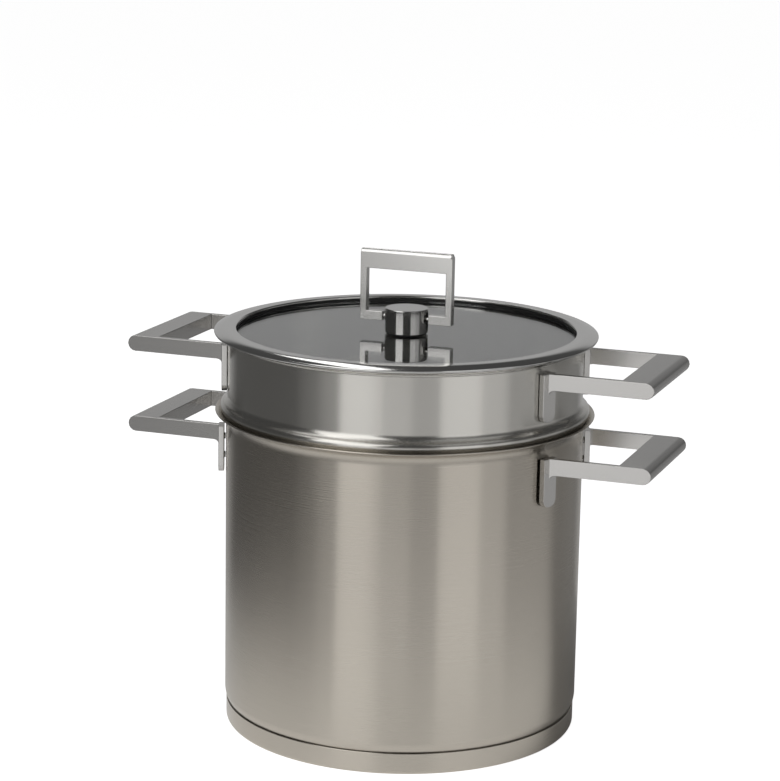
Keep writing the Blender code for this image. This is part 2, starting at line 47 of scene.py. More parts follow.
BASKET_RADIUS = 0.1185
BASKET_NECK = 0.003
BASKET_FLOOR = 0.040
BASKET_CORNER = 0.012
LID_OUTER = 0.12925
LID_INNER = 0.11425
LID_SKIRT = 0.1176
LID_LOW = 0.2694
LID_TOP = 0.2731
LID_SHEET = 0.0007
LID_CROWN = 0.027
LID_CROWN_START = 0.1195
LID_EDGE = 0.0007
LID_LIP_BEND = 0.0011
LID_LIP_DEPTH = 0.0019
GLASS_RADIUS = 0.1157
GLASS_TOP = 0.2691
GLASS_LOW = 0.2651
GLASS_HOLE = 0.003
GLASS_EDGE = 0.0008
SEAL_LOW = 0.2642

# Holes of the strainer basket. HOLE_CUT is the share of a hole's radius at which it is cut first.
BASKET_COLUMNS = 192
HOLE_CUT = 0.9
COLUMNS_PER_HOLE = 4
HOLE_RADIUS = 0.0021
HOLE_PITCH = 0.013
HOLE_ROWS = 11
HOLE_ROW_START = 0.014
FLOOR_CELLS = 16
FLOOR_MARGIN = 0.002

# Fineness of the turned pieces, and how near two points have to be to count as one
TURNED_STEPS = 240
GLASS_STEPS = 192
SAME_POINT = 0.000001
SAME_CAD_POINT = 0.000005
SAME_HEIGHT = 0.0001

# Angles between faces: shaded as an edge, rounded on a CAD form, and too small to keep
SHARP_ANGLE = math.radians(40)
CAD_EDGE_ANGLE = math.radians(30)
FLAT_ANGLE = math.radians(0.5)

# Rounding of the edges that the CAD leaves sharp
HANDLE_EDGE = 0.0005
FRAME_EDGE = 0.00035
PIN_EDGE = 0.0002
KNOB_EDGE = 0.00012

# Finishes: the range that noise mostly fills, the share of streaks in the roughness of steel, and
# roughness of the rest
NOISE_LOW = 0.25
NOISE_HIGH = 0.75
STREAK_SHARE = 0.7
MOULDED_SPREAD = 0.08
GLASS_SMOOTH = 0.01
GLASS_SMEARED = 0.035

# Camera
CAMERA_AZIMUTH = math.radians(19.985)
CAMERA_ELEVATION = math.radians(12.79)
CAMERA_ROLL = math.radians(1.018)
CAMERA_DISTANCE = 1.744568
CAMERA_AIM_RIGHT = -0.010314
CAMERA_AIM_HEIGHT = 0.229339
CAMERA_LENS = 118.98

# Studio, with angles in degrees to the right from the camera's side. Each wall has its two edges,
# their softness, the height of its top and its brightness.
WALLS = ((-74, -52, 8, 8, 0.20), (-60, -15, 10, 8, 0.32), (-15, 6, 3, 0, 0.86),
         (0, 21.2, 3, 0, 0.66), (21.2, 50, 1.2, 22, 1.0), (44, 72, 8, 16, 0.72),
         (66, 114, 10, 10, 0.48), (100, 150, 12, 4, 0.27))
DARK_WALL = 0.12
BACKDROP = 0.43
BACKDROP_EDGE = 146
BACKDROP_SOFT = 20
BACKDROP_TOP = 21
WALL_FOOT = -27
WALL_TOP_SOFT = 4
CEILING = 0.07
CEILING_SOFT = 0.1
FLOOR_REACH = 16.0
FLOOR_GLOW = 0.91
TABLE_RADIUS = 0.36
TABLE_SOFT = 0.12
TABLE_GLOW = 0.29
TABLE_FRONT_GLOW = 0.21
TABLE_SHADE = 120
TABLE_SHADE_START = 0.02
TABLE_SHADE_SOFT = 0.04
TABLE_SHADE_SIDE_SOFT = 0.02
TABLE_FRONT_SOFT = 0.12
PAPER_COLOUR = 0.8

# Limits that lie outside everything: a direction's part along an axis, metres on the table and
# degrees of a turn
BELOW_ALL = -2.0
BEYOND_ALL = 2.0
FULL_TURN = 360


# Shapes

def arc(centre_x, centre_z, radius, start, end, steps):
    """Points on a circle from one angle to another."""
    points = []
    for step in range(steps + 1):
        angle = start + (end - start) * step / steps
        points.append((centre_x + radius * math.cos(angle), centre_z + radius * math.sin(angle)))
    return points


def spin_profile(mesh_data, profile, steps, closed):
    """Turn a profile of (radius, height) points about Z inside a bmesh."""
    verts = [mesh_data.verts.new((radius, 0.0, height)) for radius, height in profile]
    edges = [mesh_data.edges.new(pair) for pair in zip(verts, verts[1:])]
    if closed:
        edges.append(mesh_data.edges.new((verts[-1], verts[0])))
    bmesh.ops.spin(mesh_data, geom=verts + edges, cent=(0, 0, 0), axis=(0, 0, 1),
                   angle=2 * math.pi, steps=steps, use_merge=True)
    bmesh.ops.remove_doubles(mesh_data, verts=mesh_data.verts, dist=SAME_POINT)
    bmesh.ops.recalc_face_normals(mesh_data, faces=mesh_data.faces)


def even_shading(piece):
    """Let wide faces lead the shading of the bends beside them."""
    normals = piece.modifiers.new("even shading", "WEIGHTED_NORMAL")
    normals.keep_sharp = True


def finish_piece(name, mesh_data, body, material, nodes):
    """Make a piece from a bmesh and let it ride with its body."""
    mesh = bpy.data.meshes.new(name)
    mesh_data.to_mesh(mesh)
    mesh_data.free()
    mesh.materials.clear()
    mesh.materials.append(material)
    mesh.shade_smooth()
    mesh.set_sharp_from_angle(angle=SHARP_ANGLE)
    piece = bpy.data.objects.new(name, mesh)
    bpy.context.scene.collection.objects.link(piece)
    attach(piece, body)
    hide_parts(*nodes)
    return piece


def turned_piece(name, profile, steps, closed, body, material, nodes):
    """A turned piece in the place of a CAD node."""
    mesh_data = bmesh.new()
    spin_profile(mesh_data, profile, steps, closed)
    even_shading(finish_piece(name, mesh_data, body, material, nodes))


def flare_base(top, bend, sweep):
    """Height at which a flared rim starts to bend out."""
    return top - (bend + SHEET) * math.sin(sweep)


def flare_faces(wall, top, bend, sweep, steps):
    """Outer and inner face of a flared rim, each from its lip down."""
    low = flare_base(top, bend, sweep)
    outer = arc(wall + bend, low, bend, math.pi - sweep, math.pi, steps)
    inner = arc(wall + bend, low, bend + SHEET, math.pi - sweep, math.pi, steps)
    return outer, inner


def lip_round(outer, inner, steps):
    """Half-round end of a sheet, from its inner face to its outer face."""
    centre = ((outer[0] + inner[0]) / 2, (outer[1] + inner[1]) / 2)
    start = math.atan2(inner[1] - centre[1], inner[0] - centre[0])
    radius = math.dist(outer, inner) / 2
    return arc(*centre, radius, start, start - math.pi, steps)[1:-1]


def make_pot_body(material):
    """The drawn pot, with its rim, its rounded corner and its inner wall."""
    corner_x = BODY_RADIUS - POT_CORNER
    lip = CAP_RADIUS - CAP_SHEET - FIT_GAP - corner_x
    corner_z = CAP_TOP + math.sqrt(POT_CORNER ** 2 - lip ** 2)
    outer, inner = flare_faces(BODY_RADIUS, POT_RIM_TOP, POT_FLARE, POT_FLARE_SWEEP, 14)
    profile = outer + arc(corner_x, corner_z, POT_CORNER, 0.0, -math.pi / 2, 14)
    profile += [(0.0, corner_z - POT_CORNER), (0.0, corner_z - POT_CORNER + SHEET)]
    profile += arc(corner_x, corner_z, POT_CORNER - SHEET, -math.pi / 2, 0.0, 14)
    profile += inner[::-1] + lip_round(outer[0], inner[0], 6)
    turned_piece("pot_wall", profile, TURNED_STEPS, True, "stockpot", material,
                 ["pot_body"])


def make_base_cap(material):
    """The pressed cap under the pot."""
    bend_x = CAP_RADIUS - CAP_CORNER
    inner_x = CAP_RADIUS - CAP_SHEET
    profile = [(0.0, CAP_SHEET)]
    profile += arc(bend_x, CAP_CORNER, CAP_CORNER - CAP_SHEET, -math.pi / 2, 0.0, 6)
    profile += arc(inner_x + CAP_SHEET / 2, CAP_TOP - CAP_SHEET / 2, CAP_SHEET / 2,
                   math.pi, 0.0, 6)
    profile += arc(bend_x, CAP_CORNER, CAP_CORNER, 0.0, -math.pi / 2, 8)
    profile += [(0.0, 0.0)]
    turned_piece("base_cap", profile, TURNED_STEPS, False, "stockpot", material,
                 ["pot_base_cap"])


def seat_profile():
    """Outer face of the shoulder, the seating bead and the neck of the insert."""
    flare_x = BODY_RADIUS + POT_FLARE
    flare_z = flare_base(POT_RIM_TOP, POT_FLARE, POT_FLARE_SWEEP)
    reach = POT_FLARE + SHEET + FIT_GAP
    bead_x = COLLAR_RADIUS + BEAD_OVERHANG - BEAD_RADIUS
    bead_z = POT_RIM_TOP + BEAD_RISE
    apart = math.hypot(bead_x - flare_x, bead_z - flare_z)
    facing = math.atan2(bead_z - flare_z, bead_x - flare_x)
    slope = math.pi - facing - math.acos((reach + BEAD_RADIUS) / apart)
    seat_x = flare_x - reach * math.cos(slope)
    seat_z = flare_z + reach * math.sin(slope)

    shoulder_x = COLLAR_RADIUS + SHOULDER_RADIUS
    spread = SHOULDER_RADIUS + BEAD_RADIUS
    tilt = math.acos((shoulder_x - bead_x) / spread)
    shoulder_z = bead_z + spread * math.sin(tilt)
    shoulder = arc(shoulder_x, shoulder_z, SHOULDER_RADIUS, math.pi, math.pi + tilt, 12)
    bead = arc(bead_x, bead_z, BEAD_RADIUS, tilt, -slope, 12)

    neck_x = BASKET_RADIUS + BASKET_NECK
    neck_start = neck_x - BASKET_NECK * math.cos(slope)
    neck_top = seat_z + (neck_start - seat_x) / math.tan(slope)
    neck_z = neck_top - BASKET_NECK * math.sin(slope)
    neck = arc(neck_x, neck_z, BASKET_NECK, math.pi - slope, math.pi, 6)
    return shoulder + bead[1:] + neck


def punch_holes(mesh_data, centres):
    """Open a round hole at each of the given vertices.

    A bevel cuts a patch round each vertex, the patch's points are drawn into a circle, and its
    faces are deleted.
    """
    middles = kdtree.KDTree(len(centres))
    for place, vert in enumerate(centres):
        middles.insert(vert.co, place)
    middles.balance()
    made = bmesh.ops.bevel(mesh_data, geom=centres, offset=HOLE_CUT * HOLE_RADIUS,
                           affect="VERTICES", segments=3, profile=0.5, material=-1)
    for vert in made["verts"]:
        middle = middles.find(vert.co)[0]
        vert.co = middle + (vert.co - middle).normalized() * HOLE_RADIUS
    bmesh.ops.delete(mesh_data, geom=made["faces"], context="FACES")


def wall_holes(mesh_data, rows):
    """Vertices of the basket's wall that get a hole. Each row is half a step on from the last."""
    column = 2 * math.pi / BASKET_COLUMNS
    centres = []
    for vert in mesh_data.verts:
        for row, height in enumerate(rows):
            if abs(vert.co.z - height) < SAME_HEIGHT:
                place = round(math.atan2(vert.co.y, vert.co.x) / column)
                if place % COLUMNS_PER_HOLE == COLUMNS_PER_HOLE // 2 * (row % 2):
                    centres.append(vert)
    return centres


def fill_floor(mesh_data):
    """Close the basket's bottom with a grid, and give the vertices of it that get a hole."""
    floor = bmesh.ops.create_grid(mesh_data, x_segments=FLOOR_CELLS, y_segments=FLOOR_CELLS,
                                  size=FLOOR_CELLS / 2 * HOLE_PITCH,
                                  matrix=Matrix.Translation((0, 0, BASKET_FLOOR)))
    reach = BASKET_RADIUS - BASKET_CORNER - FLOOR_MARGIN
    outside = [vert for vert in floor["verts"] if vert.co.xy.length > reach]
    bmesh.ops.delete(mesh_data, geom=outside, context="VERTS")
    stray = [edge for edge in mesh_data.edges if edge.is_wire]
    bmesh.ops.delete(mesh_data, geom=stray, context="EDGES")
    stray = [vert for vert in mesh_data.verts if not vert.link_faces]
    bmesh.ops.delete(mesh_data, geom=stray, context="VERTS")
    level = [edge for edge in mesh_data.edges if edge.is_boundary
             and all(abs(vert.co.z - BASKET_FLOOR) < SAME_HEIGHT for vert in edge.verts)]
    bmesh.ops.triangle_fill(mesh_data, edges=level, use_beauty=True)
    return [vert for vert in mesh_data.verts if vert.co.xy.length < reach - HOLE_PITCH
            and abs(vert.co.z - BASKET_FLOOR) < SAME_HEIGHT]


def make_basket(material):
    """Collar, seating bead and perforated basket, one sheet."""
    outer, _ = flare_faces(COLLAR_RADIUS, COLLAR_TOP, COLLAR_FLARE, COLLAR_FLARE_SWEEP, 10)
    rows = [BASKET_FLOOR + BASKET_CORNER + HOLE_ROW_START + HOLE_PITCH * row
            for row in reversed(range(HOLE_ROWS))]
    wall = [(BASKET_RADIUS, height) for height in rows]
    corner = arc(BASKET_RADIUS - BASKET_CORNER, BASKET_FLOOR + BASKET_CORNER, BASKET_CORNER,
                 0.0, -math.pi / 2, 10)
    mesh_data = bmesh.new()
    spin_profile(mesh_data, outer + seat_profile() + wall + corner, BASKET_COLUMNS, False)
    punch_holes(mesh_data, wall_holes(mesh_data, rows))
    punch_holes(mesh_data, fill_floor(mesh_data))
    bmesh.ops.remove_doubles(mesh_data, verts=mesh_data.verts, dist=SAME_POINT)
    bmesh.ops.recalc_face_normals(mesh_data, faces=mesh_data.faces)

    basket = finish_piece("insert_sheet", mesh_data, "strainer_insert", material,
                          ["strainer_basket"])
    sheet = basket.modifiers.new("sheet", "SOLIDIFY")
    sheet.thickness = SHEET
    sheet.offset = -1.0
    sheet.use_even_offset = True
    even_shading(basket)


def make_lid_rim(material):
    """The rolled steel rim of the lid, crowned on top and turned down at its inner edge."""
    web = LID_SKIRT - LID_SHEET
    ledge_top = SEAL_LOW - FIT_GAP
    ledge_low = ledge_top - LID_SHEET
    roof = LID_TOP - LID_SHEET
    crown_z = LID_TOP - LID_CROWN
    edge_x = LID_OUTER - LID_EDGE
    edge_turn = math.acos((edge_x - LID_CROWN_START) / (LID_CROWN - LID_EDGE))
    edge_z = crown_z + (LID_CROWN - LID_EDGE) * math.sin(edge_turn)
    hem = edge_z - LID_LOW
    lip_low = LID_TOP - LID_LIP_DEPTH
    lip_x = LID_INNER + LID_LIP_BEND
    lip_z = LID_TOP - LID_LIP_BEND
    end = LID_SHEET / 2

    profile = arc(lip_x, lip_z, LID_LIP_BEND, math.pi, math.pi / 2, 8)
    profile += arc(LID_CROWN_START, crown_z, LID_CROWN, math.pi / 2, edge_turn, 12)
    profile += arc(edge_x, edge_z, LID_EDGE, edge_turn, 0.0, 6)[1:]
    profile += arc(LID_OUTER - hem, edge_z, hem, 0.0, -math.pi / 2, 8)[1:]
    profile += [(LID_SKIRT, LID_LOW), (LID_SKIRT, ledge_low), (LID_INNER, ledge_low),
                (LID_INNER, ledge_top), (web, ledge_top), (web, roof)]
    profile += arc(lip_x, lip_z, LID_LIP_BEND - LID_SHEET, math.pi / 2, math.pi, 4)
    profile += arc(LID_INNER + end, lip_low + end, end, 0.0, -math.pi, 4)
    turned_piece("rolled_rim", profile, TURNED_STEPS, True, "lid", material,
                 ["lid_rim"])


def make_lid_seal(material):
    """The soft channel that holds the glass inside the rim."""
    outside = LID_SKIRT - LID_SHEET - FIT_GAP
    inside = LID_INNER + FIT_GAP
    behind_lip = LID_INNER + LID_SHEET + FIT_GAP
    under_lip = LID_TOP - LID_LIP_DEPTH - FIT_GAP
    top = LID_TOP - LID_SHEET - FIT_GAP
    profile = [(behind_lip, top), (outside, top), (outside, SEAL_LOW), (inside, SEAL_LOW),
               (inside, GLASS_LOW - FIT_GAP), (GLASS_RADIUS + FIT_GAP, GLASS_LOW - FIT_GAP),
               (GLASS_RADIUS + FIT_GAP, GLASS_TOP + FIT_GAP), (inside, GLASS_TOP + FIT_GAP),
               (inside, under_lip), (behind_lip, under_lip)]
    turned_piece("rim_seal", profile, TURNED_STEPS, True, "lid", material,
                 ["lid_seal"])


def make_lid_glass(material):
    """The glass disc, its edges ground round."""
    edge = GLASS_EDGE
    profile = [(GLASS_HOLE, GLASS_LOW), (GLASS_HOLE, GLASS_TOP)]
    profile += arc(GLASS_RADIUS - edge, GLASS_TOP - edge, edge, math.pi / 2, 0.0, 4)
    profile += arc(GLASS_RADIUS - edge, GLASS_LOW + edge, edge, 0.0, -math.pi / 2, 4)
    turned_piece("glass_disc", profile, GLASS_STEPS, True, "lid", material,
                 ["lid_glass"])


def eased_copy(name, node, body, material, edge):
    """A CAD node's form with its edges rounded over, in the place of that node."""
    mesh_data = bmesh.new()
    mesh_data.from_mesh(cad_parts[node].data)
    bmesh.ops.remove_doubles(mesh_data, verts=mesh_data.verts, dist=SAME_CAD_POINT)
    bmesh.ops.dissolve_limit(mesh_data, angle_limit=FLAT_ANGLE, verts=mesh_data.verts,
                             edges=mesh_data.edges)
    sharp = [item for item in mesh_data.edges
             if item.is_manifold and item.calc_face_angle() > CAD_EDGE_ANGLE]
    bmesh.ops.bevel(mesh_data, geom=sharp, offset=edge, affect="EDGES", segments=3, profile=0.5,
                    material=-1, clamp_overlap=True)
    even_shading(finish_piece(name, mesh_data, body, material, [node]))


# Finishes

def socket(group, name, kind, value=None, output=False):
    """Add a named input or output to a shader node group."""
    item = group.interface.new_socket(name=name, in_out="OUTPUT" if output else "INPUT",
                                      socket_type=kind)
    if value is not None:
        item.default_value = value


def math_node(nodes, links, operation, first, second=None):
    """A Math node with its inputs linked or set."""
    node = nodes.new("ShaderNodeMath")
    node.operation = operation
    for place, value in enumerate((first, second)):
        if value is None:
            continue
        if isinstance(value, (int, float)):
            node.inputs[place].default_value = value
        else:
            links.new(value, node.inputs[place])
    return node.outputs[0]


def grain_group(name, round_axis):
    """Fine brushing: long streaks round the axis of a turned piece, or along a bar."""
    group = bpy.data.node_groups.new(name, "ShaderNodeTree")
    socket(group, "Streak density", "NodeSocketFloat", 9000.0)
    socket(group, "Streak length", "NodeSocketFloat", 14.0)
    socket(group, "Depth", "NodeSocketFloat", 0.2)
    socket(group, "Streaks", "NodeSocketFloat", output=True)
    socket(group, "Clouding", "NodeSocketFloat", output=True)
    socket(group, "Normal", "NodeSocketVector", output=True)
    nodes, links = group.nodes, group.links
    start = nodes.new("NodeGroupInput")
    end = nodes.new("NodeGroupOutput")
    place = nodes.new("ShaderNodeTexCoord").outputs["Object"]
    split = nodes.new("ShaderNodeSeparateXYZ")
    links.new(place, split.inputs[0])
    join = nodes.new("ShaderNodeCombineXYZ")
    x, y, z = split.outputs
    length = start.outputs["Streak length"]
    density = start.outputs["Streak density"]
    if round_axis:
        squares = math_node(nodes, links, "ADD", math_node(nodes, links, "MULTIPLY", x, x),
                            math_node(nodes, links, "MULTIPLY", y, y))
        radius = math_node(nodes, links, "SQRT", squares)
        across = math_node(nodes, links, "ADD", radius, z)
        links.new(math_node(nodes, links, "MULTIPLY", x, length), join.inputs[0])
        links.new(math_node(nodes, links, "MULTIPLY", y, length), join.inputs[1])
        links.new(math_node(nodes, links, "MULTIPLY", across, density), join.inputs[2])
    else:
        links.new(math_node(nodes, links, "MULTIPLY", x, length), join.inputs[0])
        links.new(math_node(nodes, links, "MULTIPLY", y, density), join.inputs[1])
        links.new(math_node(nodes, links, "MULTIPLY", z, density), join.inputs[2])
    streaks = nodes.new("ShaderNodeTexNoise")
    streaks.inputs["Scale"].default_value = 1.0
    streaks.inputs["Detail"].default_value = 3.0
    streaks.inputs["Roughness"].default_value = 0.6
    links.new(join.outputs[0], streaks.inputs["Vector"])
    clouds = nodes.new("ShaderNodeTexNoise")
    clouds.inputs["Scale"].default_value = 22.0
    clouds.inputs["Detail"].default_value = 2.0
    links.new(place, clouds.inputs["Vector"])
    bump = nodes.new("ShaderNodeBump")
    bump.inputs["Distance"].default_value = 0.00002
    links.new(start.outputs["Depth"], bump.inputs["Strength"])
    links.new(streaks.outputs["Fac"], bump.inputs["Height"])
    links.new(streaks.outputs["Fac"], end.inputs["Streaks"])
    links.new(clouds.outputs["Fac"], end.inputs["Clouding"])
    links.new(bump.outputs["Normal"], end.inputs["Normal"])
    return group


def ranged(nodes, links, value, low, high):
    """Bring a noise value into a range."""
    node = nodes.new("ShaderNodeMapRange")
    node.inputs["From Min"].default_value = NOISE_LOW
    node.inputs["From Max"].default_value = NOISE_HIGH
    node.inputs["To Min"].default_value = low
    node.inputs["To Max"].default_value = high
    links.new(value, node.inputs["Value"])
    return node.outputs["Result"]


def brushed_steel(name, grain, dark, light, roughness, spread=0.06, anisotropy=0.0, depth=0.2,
                  density=9000.0):
    """Brushed stainless steel."""
    material = bpy.data.materials.new(name)
    material.use_nodes = True
    nodes, links = material.node_tree.nodes, material.node_tree.links
    shader = nodes["Principled BSDF"]
    brushing = nodes.new("ShaderNodeGroup")
    brushing.node_tree = grain
    brushing.inputs["Streak density"].default_value = density
    brushing.inputs["Depth"].default_value = depth
    mixed = nodes.new("ShaderNodeMix")
    mixed.data_type = "RGBA"
    mixed.inputs["A"].default_value = (*dark, 1.0)
    mixed.inputs["B"].default_value = (*light, 1.0)
    links.new(ranged(nodes, links, brushing.outputs["Streaks"], 0.0, 1.0), mixed.inputs["Factor"])
    links.new(mixed.outputs["Result"], shader.inputs["Base Color"])
    both = math_node(nodes, links, "ADD",
                     math_node(nodes, links, "MULTIPLY", brushing.outputs["Streaks"],
                               STREAK_SHARE),
                     math_node(nodes, links, "MULTIPLY", brushing.outputs["Clouding"],
                               1.0 - STREAK_SHARE))
    links.new(ranged(nodes, links, both, roughness - spread, roughness + spread),
              shader.inputs["Roughness"])
    links.new(brushing.outputs["Normal"], shader.inputs["Normal"])
    shader.inputs["Metallic"].default_value = 1.0
    if anisotropy:
        shader.inputs["Anisotropic"].default_value = anisotropy
        shader.inputs["Anisotropic Rotation"].default_value = 0.25
        tangent = nodes.new("ShaderNodeTangent")
        tangent.direction_type = "RADIAL"
        tangent.axis = "Z"
        links.new(tangent.outputs["Tangent"], shader.inputs["Tangent"])
    return material


def clear_glass(name):
    """Tempered lid glass."""
    material = bpy.data.materials.new(name)
    material.use_nodes = True
    nodes, links = material.node_tree.nodes, material.node_tree.links
    shader = nodes["Principled BSDF"]
    shader.inputs["Base Color"].default_value = (0.84, 0.86, 0.85, 1.0)
    shader.inputs["Metallic"].default_value = 0.0
    shader.inputs["Transmission Weight"].default_value = 1.0
    shader.inputs["IOR"].default_value = 1.5
    smears = nodes.new("ShaderNodeTexNoise")
    smears.inputs["Scale"].default_value = 30.0
    smears.inputs["Detail"].default_value = 4.0
    place = nodes.new("ShaderNodeTexCoord")
    links.new(place.outputs["Object"], smears.inputs["Vector"])
    links.new(ranged(nodes, links, smears.outputs["Fac"], GLASS_SMOOTH, GLASS_SMEARED),
              shader.inputs["Roughness"])
    return material


def moulded(name, dark, light, roughness, scale):
    """Silicone or plastic with a faint moulded grain."""
    material = bpy.data.materials.new(name)
    material.use_nodes = True
    nodes, links = material.node_tree.nodes, material.node_tree.links
    shader = nodes["Principled BSDF"]
    grain = nodes.new("ShaderNodeTexNoise")
    grain.inputs["Scale"].default_value = scale
    grain.inputs["Detail"].default_value = 4.0
    place = nodes.new("ShaderNodeTexCoord")
    links.new(place.outputs["Object"], grain.inputs["Vector"])
    mixed = nodes.new("ShaderNodeMix")
    mixed.data_type = "RGBA"
    mixed.inputs["A"].default_value = (*dark, 1.0)
    mixed.inputs["B"].default_value = (*light, 1.0)
    links.new(grain.outputs["Fac"], mixed.inputs["Factor"])
    links.new(mixed.outputs["Result"], shader.inputs["Base Color"])
    links.new(ranged(nodes, links, grain.outputs["Fac"], roughness - MOULDED_SPREAD,
                     roughness + MOULDED_SPREAD), shader.inputs["Roughness"])
    bump = nodes.new("ShaderNodeBump")
    bump.inputs["Strength"].default_value = 0.15
    bump.inputs["Distance"].default_value = 0.0001
    links.new(grain.outputs["Fac"], bump.inputs["Height"])
    links.new(bump.outputs["Normal"], shader.inputs["Normal"])
    return material


def dress(node, material):
    """Give a CAD node its finish."""
    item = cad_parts[node]
    if item.material_slots:
        for place in item.material_slots:
            place.material = material
    else:
        item.data.materials.append(material)


# Studio

def make_camera():
    """The camera at the photograph's angle."""
    azimuth, elevation, roll = CAMERA_AZIMUTH, CAMERA_ELEVATION, CAMERA_ROLL
    back = Vector((math.sin(azimuth) * math.cos(elevation),
                   -math.cos(azimuth) * math.cos(elevation), math.sin(elevation)))
    level = Vector((math.cos(azimuth), math.sin(azimuth), 0.0))
    upright = level.cross(-back)
    right = level * math.cos(roll) + upright * math.sin(roll)
    up = upright * math.cos(roll) - level * math.sin(roll)
    aim = level * CAMERA_AIM_RIGHT + Vector((0.0, 0.0, CAMERA_AIM_HEIGHT))
    turn = Matrix((right, up, back)).transposed().to_4x4()
    data = bpy.data.cameras.new("camera")
    data.sensor_fit = "HORIZONTAL"
    data.sensor_width = 36.0
    data.lens = CAMERA_LENS
    camera = bpy.data.objects.new("camera", data)
    camera.matrix_world = Matrix.Translation(aim + back * CAMERA_DISTANCE) @ turn
    bpy.context.scene.collection.objects.link(camera)
    bpy.context.scene.camera = camera


def softbox(name, azimuth, elevation, distance, width, height, radiance, aim_height=0.15):
    """A soft area lamp at an azimuth from the object's front, turned to the object."""
    azimuth, elevation = math.radians(azimuth), math.radians(elevation)
    away = Vector((math.sin(azimuth) * math.cos(elevation),
                   -math.cos(azimuth) * math.cos(elevation), math.sin(elevation)))
    data = bpy.data.lights.new(name, "AREA")
    data.shape = "RECTANGLE"
    data.size = width
    data.size_y = height
    data.energy = radiance * math.pi * width * height
    lamp = bpy.data.objects.new(name, data)
    lamp.location = away * distance + Vector((0.0, 0.0, aim_height))
    lamp.rotation_euler = (-away).to_track_quat("-Z", "Y").to_euler()
    lamp.visible_camera = False
    bpy.context.scene.collection.objects.link(lamp)


def window(nodes, links, value, start, end, soft, level):
    """A level between two values, with soft edges, and zero outside them."""
    rise = nodes.new("ShaderNodeMapRange")
    fall = nodes.new("ShaderNodeMapRange")
    for ramp, edge, low, high in ((rise, start, 0.0, level), (fall, end, 1.0, 0.0)):
        ramp.interpolation_type = "SMOOTHSTEP"
        ramp.inputs["From Min"].default_value = edge - soft
        ramp.inputs["From Max"].default_value = edge + soft
        ramp.inputs["To Min"].default_value = low
        ramp.inputs["To Max"].default_value = high
        links.new(value, ramp.inputs["Value"])
    return math_node(nodes, links, "MULTIPLY", rise.outputs[0], fall.outputs[0])


def along(nodes, links, direction, axis):
    """How far a direction points along an axis."""
    part = nodes.new("ShaderNodeVectorMath")
    part.operation = "DOT_PRODUCT"
    part.inputs[1].default_value = axis
    links.new(direction, part.inputs[0])
    return part.outputs["Value"]


def studio_room(nodes, links):
    """Brightness of the room: pale walls round the object under a dark ceiling."""
    direction = nodes.new("ShaderNodeTexCoord").outputs["Generated"]
    sine, cosine = math.sin(CAMERA_AZIMUTH), math.cos(CAMERA_AZIMUTH)
    rightward = along(nodes, links, direction, (cosine, sine, 0.0))
    forward = along(nodes, links, direction, (sine, -cosine, 0.0))
    upward = along(nodes, links, direction, (0.0, 0.0, 1.0))
    turn = math_node(nodes, links, "ARCTAN2", rightward, forward)
    about = math_node(nodes, links, "ABSOLUTE", turn)
    level = window(nodes, links, upward, BELOW_ALL, 0.0, CEILING_SOFT, DARK_WALL - CEILING)
    level = math_node(nodes, links, "ADD", level, CEILING)
    walls = [(turn, *wall) for wall in WALLS]
    walls.append((about, BACKDROP_EDGE, FULL_TURN, BACKDROP_SOFT, BACKDROP_TOP, BACKDROP))
    for place, start, end, soft, top, strength in walls:
        wall = window(nodes, links, place, math.radians(start), math.radians(end),
                      math.radians(soft), strength)
        height = window(nodes, links, upward, math.sin(math.radians(WALL_FOOT)),
                        math.sin(math.radians(top)), math.sin(math.radians(WALL_TOP_SOFT)), 1.0)
        wall = math_node(nodes, links, "MULTIPLY", wall, height)
        level = math_node(nodes, links, "MAXIMUM", level, wall)
    return level


def straight_seen(nodes, links):
    """One where the camera sees a surface directly or through the glass, not in metal."""
    path = nodes.new("ShaderNodeLightPath")
    unmirrored = math_node(nodes, links, "LESS_THAN", path.outputs["Glossy Depth"], 0.5)
    through = math_node(nodes, links, "MULTIPLY", path.outputs["Is Transmission Ray"], unmirrored)
    return math_node(nodes, links, "MAXIMUM", path.outputs["Is Camera Ray"], through)


def studio_world():
    """The studio as metal mirrors it, and white behind the object for the camera."""
    world = bpy.data.worlds.new("studio")
    bpy.context.scene.world = world
    world.use_nodes = True
    nodes, links = world.node_tree.nodes, world.node_tree.links
    nodes.clear()
    out = nodes.new("ShaderNodeOutputWorld")
    room = nodes.new("ShaderNodeBackground")
    links.new(studio_room(nodes, links), room.inputs["Strength"])
    white = nodes.new("ShaderNodeBackground")
    for background in (room, white):
        background.inputs["Color"].default_value = (1.0, 1.0, 1.0, 1.0)
    mixed = nodes.new("ShaderNodeMixShader")
    links.new(straight_seen(nodes, links), mixed.inputs[0])
    links.new(room.outputs[0], mixed.inputs[1])
    links.new(white.outputs[0], mixed.inputs[2])
    links.new(mixed.outputs[0], out.inputs["Surface"])


def paper(nodes, links, glow):
    """Pale paper: a diffuse surface with a glow that no shadow takes away."""
    surface = nodes.new("ShaderNodeBsdfDiffuse")
    surface.inputs["Color"].default_value = (PAPER_COLOUR, PAPER_COLOUR, PAPER_COLOUR, 1.0)
    light = nodes.new("ShaderNodeEmission")
    if isinstance(glow, float):
        light.inputs["Strength"].default_value = glow
    else:
        links.new(glow, light.inputs["Strength"])
    both = nodes.new("ShaderNodeAddShader")
    links.new(surface.outputs[0], both.inputs[0])
    links.new(light.outputs[0], both.inputs[1])
    return both.outputs[0]


